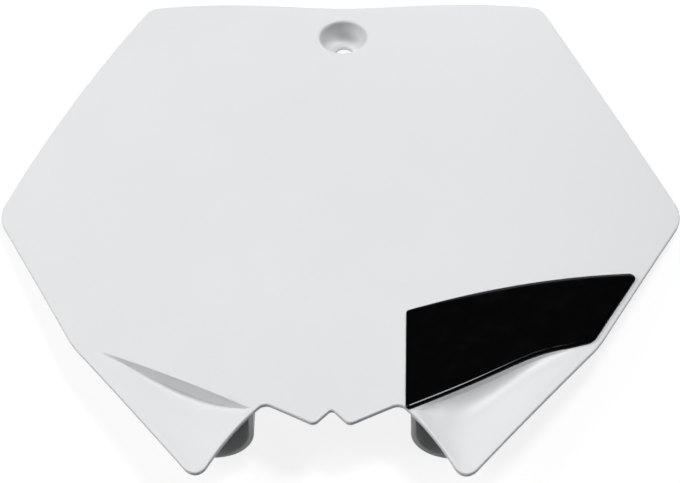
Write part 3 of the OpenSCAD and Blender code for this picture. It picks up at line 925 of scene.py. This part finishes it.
def colour_drift():
    """Group: a colour that drifts toward a second one in wide, soft patches and fine specks."""
    group, given, result = node_group(
        "Colour Drift",
        {"Colour": (1, 1, 1, 1), "Shade": (0.9, 0.9, 0.9, 1), "Patch Scale": 12.0, "Speck Scale": 900.0},
        {"Colour": "NodeSocketColor"},
    )
    place = add_node(group, "ShaderNodeTexCoord", {})["Object"]
    patches = spread(group, noise(group, place, given["Patch Scale"], 2), 0.0, PATCH_SHARE)
    specks = spread(group, noise(group, place, given["Speck Scale"], 2), 0.0, SPECK_SHARE)
    total = add_node(group, "ShaderNodeMath", {0: patches, 1: specks}, operation="ADD")["Value"]
    values = {"Factor": total, "A": given["Colour"], "B": given["Shade"]}
    blend = add_node(group, "ShaderNodeMix", values, data_type="RGBA")
    fill(result, {"Colour": blend["Result"]})
    return group


def shared_group(tree, name, make, values):
    """Outputs of a node for the group of this name, which is made the first time it is asked for."""
    group = bpy.data.node_groups.get(name) or make()
    return add_node(tree, "ShaderNodeGroup", values, node_tree=group)


def plastic(name, colours, patch_scale, grain, bump, specular):
    """Plastic with drifting colour, grain and roughness.

    colours are the main one and the shade, grain holds the inputs of its group, and bump is strength
    and distance.
    """
    material = bpy.data.materials.new(name)
    material.use_nodes = True
    tree = material.node_tree
    shades = {"Colour": (*colours[0], 1), "Shade": (*colours[1], 1), "Patch Scale": patch_scale}
    surface = shared_group(tree, "Surface Grain", surface_grain, grain)
    values = {"Strength": bump[0], "Distance": bump[1], "Height": surface["Height"]}
    relief = add_node(tree, "ShaderNodeBump", values)
    fill(tree.nodes["Principled BSDF"], {
        "Base Color": shared_group(tree, "Colour Drift", colour_drift, shades)["Colour"],
        "Roughness": surface["Roughness"],
        "Specular IOR Level": specular,
        "Normal": relief["Normal"],
    })
    return material


def floor_material(tone):
    """Pale floor that is white to the camera where nothing shades it and keeps soft shadows."""
    material = bpy.data.materials.new("Pale floor")
    material.use_nodes = True
    tree = material.node_tree
    tree.nodes.remove(tree.nodes["Principled BSDF"])
    plain_floor = add_node(tree, "ShaderNodeBsdfDiffuse", {"Color": (*tone, 1)})["BSDF"]
    share = (SHADOW_SHARE, SHADOW_SHARE, SHADOW_SHARE, 1)
    shaded = add_node(tree, "ShaderNodeBsdfDiffuse", {"Color": share})["BSDF"]
    glow = add_node(tree, "ShaderNodeEmission", {"Strength": 1 - FLOOR_LIGHT * SHADOW_SHARE})["Emission"]
    bright = add_node(tree, "ShaderNodeAddShader", {0: shaded, 1: glow})["Shader"]
    rays = add_node(tree, "ShaderNodeLightPath", {})
    seen = rays["Is Camera Ray"]
    for other in ("Is Glossy Ray", "Is Transmission Ray"):
        seen = add_node(tree, "ShaderNodeMath", {0: seen, 1: rays[other]}, operation="MAXIMUM")["Value"]
    choice = add_node(tree, "ShaderNodeMixShader", {"Fac": seen, 1: plain_floor, 2: bright})["Shader"]
    fill(tree.nodes["Material Output"], {"Surface": choice})
    return material


def dress(piece, material, node):
    """Gives a piece its material in its slot and its body, and hides the CAD node that it stands for."""
    piece.data.materials.clear()
    piece.data.materials.append(material)
    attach(piece, BODY)
    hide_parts(node)


class PLATE_OT_moulding(bpy.types.Operator):
    """Build the moulded plate with its wings, screw cup, gussets and sockets"""

    bl_idname = "number_plate.moulding"
    bl_label = "Moulded Plate"

    def execute(self, context):
        scene = context.scene
        finish = scene.plate_finish
        left, right = PlateShape(scene, False), PlateShape(scene)
        piece = build_sheet(left, right)
        join(piece, build_fittings(left, right, scene.socket_pair))
        smooth(piece, PLATE_SHARP)
        white = plastic(
            "Satin white plastic",
            colours=(finish.white, finish.white_shade),
            patch_scale=9.0,
            grain={
                "Grain Scale": 1600.0, "Wave Scale": 45.0, "Wave Share": 0.35,
                "Smooth": finish.white_rough - 0.05, "Rough": finish.white_rough + 0.05,
            },
            bump=(0.12, 0.0002),
            specular=0.5,
        )
        dress(piece, white, "number_plate")
        return {"FINISHED"}


class PLATE_OT_badge_panel(bpy.types.Operator):
    """Build the glossy badge panel on the plate's lower right"""

    bl_idname = "number_plate.badge_panel"
    bl_label = "Badge Panel"

    def execute(self, context):
        scene = context.scene
        finish = scene.plate_finish
        piece = build_panel(PlateShape(scene), scene.panel_shape)
        smooth(piece, PANEL_SHARP)
        black = plastic(
            "Gloss black plastic",
            colours=(finish.black, finish.black_shade),
            patch_scale=30.0,
            grain={
                "Grain Scale": 2400.0, "Wave Scale": 150.0, "Wave Share": 0.8,
                "Smooth": finish.black_rough - 0.03, "Rough": finish.black_rough + 0.05,
            },
            bump=(0.05, 0.0002),
            specular=0.2,
        )
        dress(piece, black, "badge_panel")
        return {"FINISHED"}


def camera_axes(stage):
    """The camera's right, up and back axes from its azimuth, elevation and roll."""
    a, e, roll = stage.azimuth, stage.elevation, stage.roll
    back = np.array([math.sin(a) * math.cos(e), -math.cos(a) * math.cos(e), math.sin(e)])
    right = np.array([math.cos(a), math.sin(a), 0.0])
    up = np.cross(back, right)
    return math.cos(roll) * right + math.sin(roll) * up, math.cos(roll) * up - math.sin(roll) * right, back


def facing(place, target):
    """Matrix that puts a light at a place and turns it to a target."""
    back = unit(np.array(place) - np.array(target))
    right = unit(np.cross([0.0, 1.0, 0.0], back))
    up = np.cross(back, right)
    return placed((right, up, back), place)


def placed(axes, place):
    """Matrix from three axes and a place."""
    matrix = np.eye(4)
    matrix[:3, :3] = np.column_stack(axes)
    matrix[:3, 3] = place
    return Matrix(matrix.tolist())


def softbox(name, place, target, size, power, tone):
    """Square area light turned to a target."""
    lamp = bpy.data.lights.new(name, "AREA")
    lamp.size = size
    lamp.energy = power
    lamp.color = tone
    light = bpy.data.objects.new(name, lamp)
    bpy.context.scene.collection.objects.link(light)
    light.matrix_world = facing(place, target)


class PLATE_OT_stage(bpy.types.Operator):
    """Set up the camera, the lights and the pale floor"""

    bl_idname = "number_plate.stage"
    bl_label = "Stage"

    def execute(self, context):
        scene = context.scene
        stage = scene.stage_setup
        shape = PlateShape(scene)
        target = np.array([0.0, shape.s.crown_y - stage.aim, shape.crown_z])
        self.place_camera(scene, stage, target)
        for name, place, size, power, tone in LIGHTS:
            softbox(name, target + np.array(place), target, size, getattr(stage, power), tone)
        world = bpy.data.worlds.new("Even light")
        world.use_nodes = True
        fill(world.node_tree.nodes["Background"], {"Color": (*SKY, 1), "Strength": stage.world})
        scene.world = world
        scene.view_settings.view_transform = "Standard"
        self.lay_floor(scene, stage, shape)
        return {"FINISHED"}

    def place_camera(self, scene, stage, target):
        """Camera at the photograph's angle, looking at the face's highest point."""
        axes = camera_axes(stage)
        data = bpy.data.cameras.new("Camera")
        data.sensor_width = 36
        data.lens = stage.lens
        data.shift_x = stage.shift
        camera = bpy.data.objects.new("Camera", data)
        scene.collection.objects.link(camera)
        camera.matrix_world = placed(axes, target + axes[2] * stage.distance)
        scene.camera = camera

    def lay_floor(self, scene, stage, shape):
        """Plane that touches the upper ends of the sockets' round backs and the cup's underside."""
        pair = scene.socket_pair
        cup = shape.c
        near = np.array([pair.mouth_y + pair.run, CAD_PLATE_BOX[0].z])
        far = np.array([cup.recess_r, -cup.floor])
        slope = (far[1] - near[1]) / (far[0] - near[0])
        half = stage.floor_size / 2
        y = np.array([-half, half])
        z = near[1] + (y - near[0]) * slope
        corners = np.array([[-half, y[0], z[0]], [half, y[0], z[0]], [half, y[1], z[1]], [-half, y[1], z[1]]])
        floor = new_piece("floor", corners, [np.array([[0, 1, 2, 3]])])
        floor.data.materials.append(floor_material(scene.plate_finish.floor))


class PLATE_PT_sidebar(bpy.types.Panel):
    """Buttons and sizes of the number plate"""

    bl_idname = "PLATE_PT_sidebar"
    bl_label = "Number Plate"
    bl_space_type = "VIEW_3D"
    bl_region_type = "UI"
    bl_category = "Number Plate"

    def draw(self, context):
        layout = self.layout
        for operator in OPERATORS:
            layout.operator(operator.bl_idname)
        for name, kind in SETTINGS.items():
            box = layout.box()
            box.label(text=kind.__doc__)
            group = getattr(context.scene, name)
            for key in kind.__annotations__:
                box.prop(group, key)


SETTINGS = {
    "plate_outline": PlateOutline,
    "plate_sheet": PlateSheet,
    "screw_cup": ScrewCup,
    "socket_pair": SocketPair,
    "panel_shape": PanelShape,
    "plate_finish": PlateFinish,
    "stage_setup": StageSetup,
}
OPERATORS = (PLATE_OT_moulding, PLATE_OT_badge_panel, PLATE_OT_stage)


def register():
    for kind in (*SETTINGS.values(), *OPERATORS, PLATE_PT_sidebar):
        bpy.utils.register_class(kind)
    for name, kind in SETTINGS.items():
        setattr(bpy.types.Scene, name, PointerProperty(type=kind))


def unregister():
    for name in SETTINGS:
        delattr(bpy.types.Scene, name)
    for kind in (PLATE_PT_sidebar, *OPERATORS, *SETTINGS.values()):
        bpy.utils.unregister_class(kind)


def main():
    register()
    bpy.ops.number_plate.moulding()
    bpy.ops.number_plate.badge_panel()
    bpy.ops.number_plate.stage()


if __name__ == "__main__":
    main()
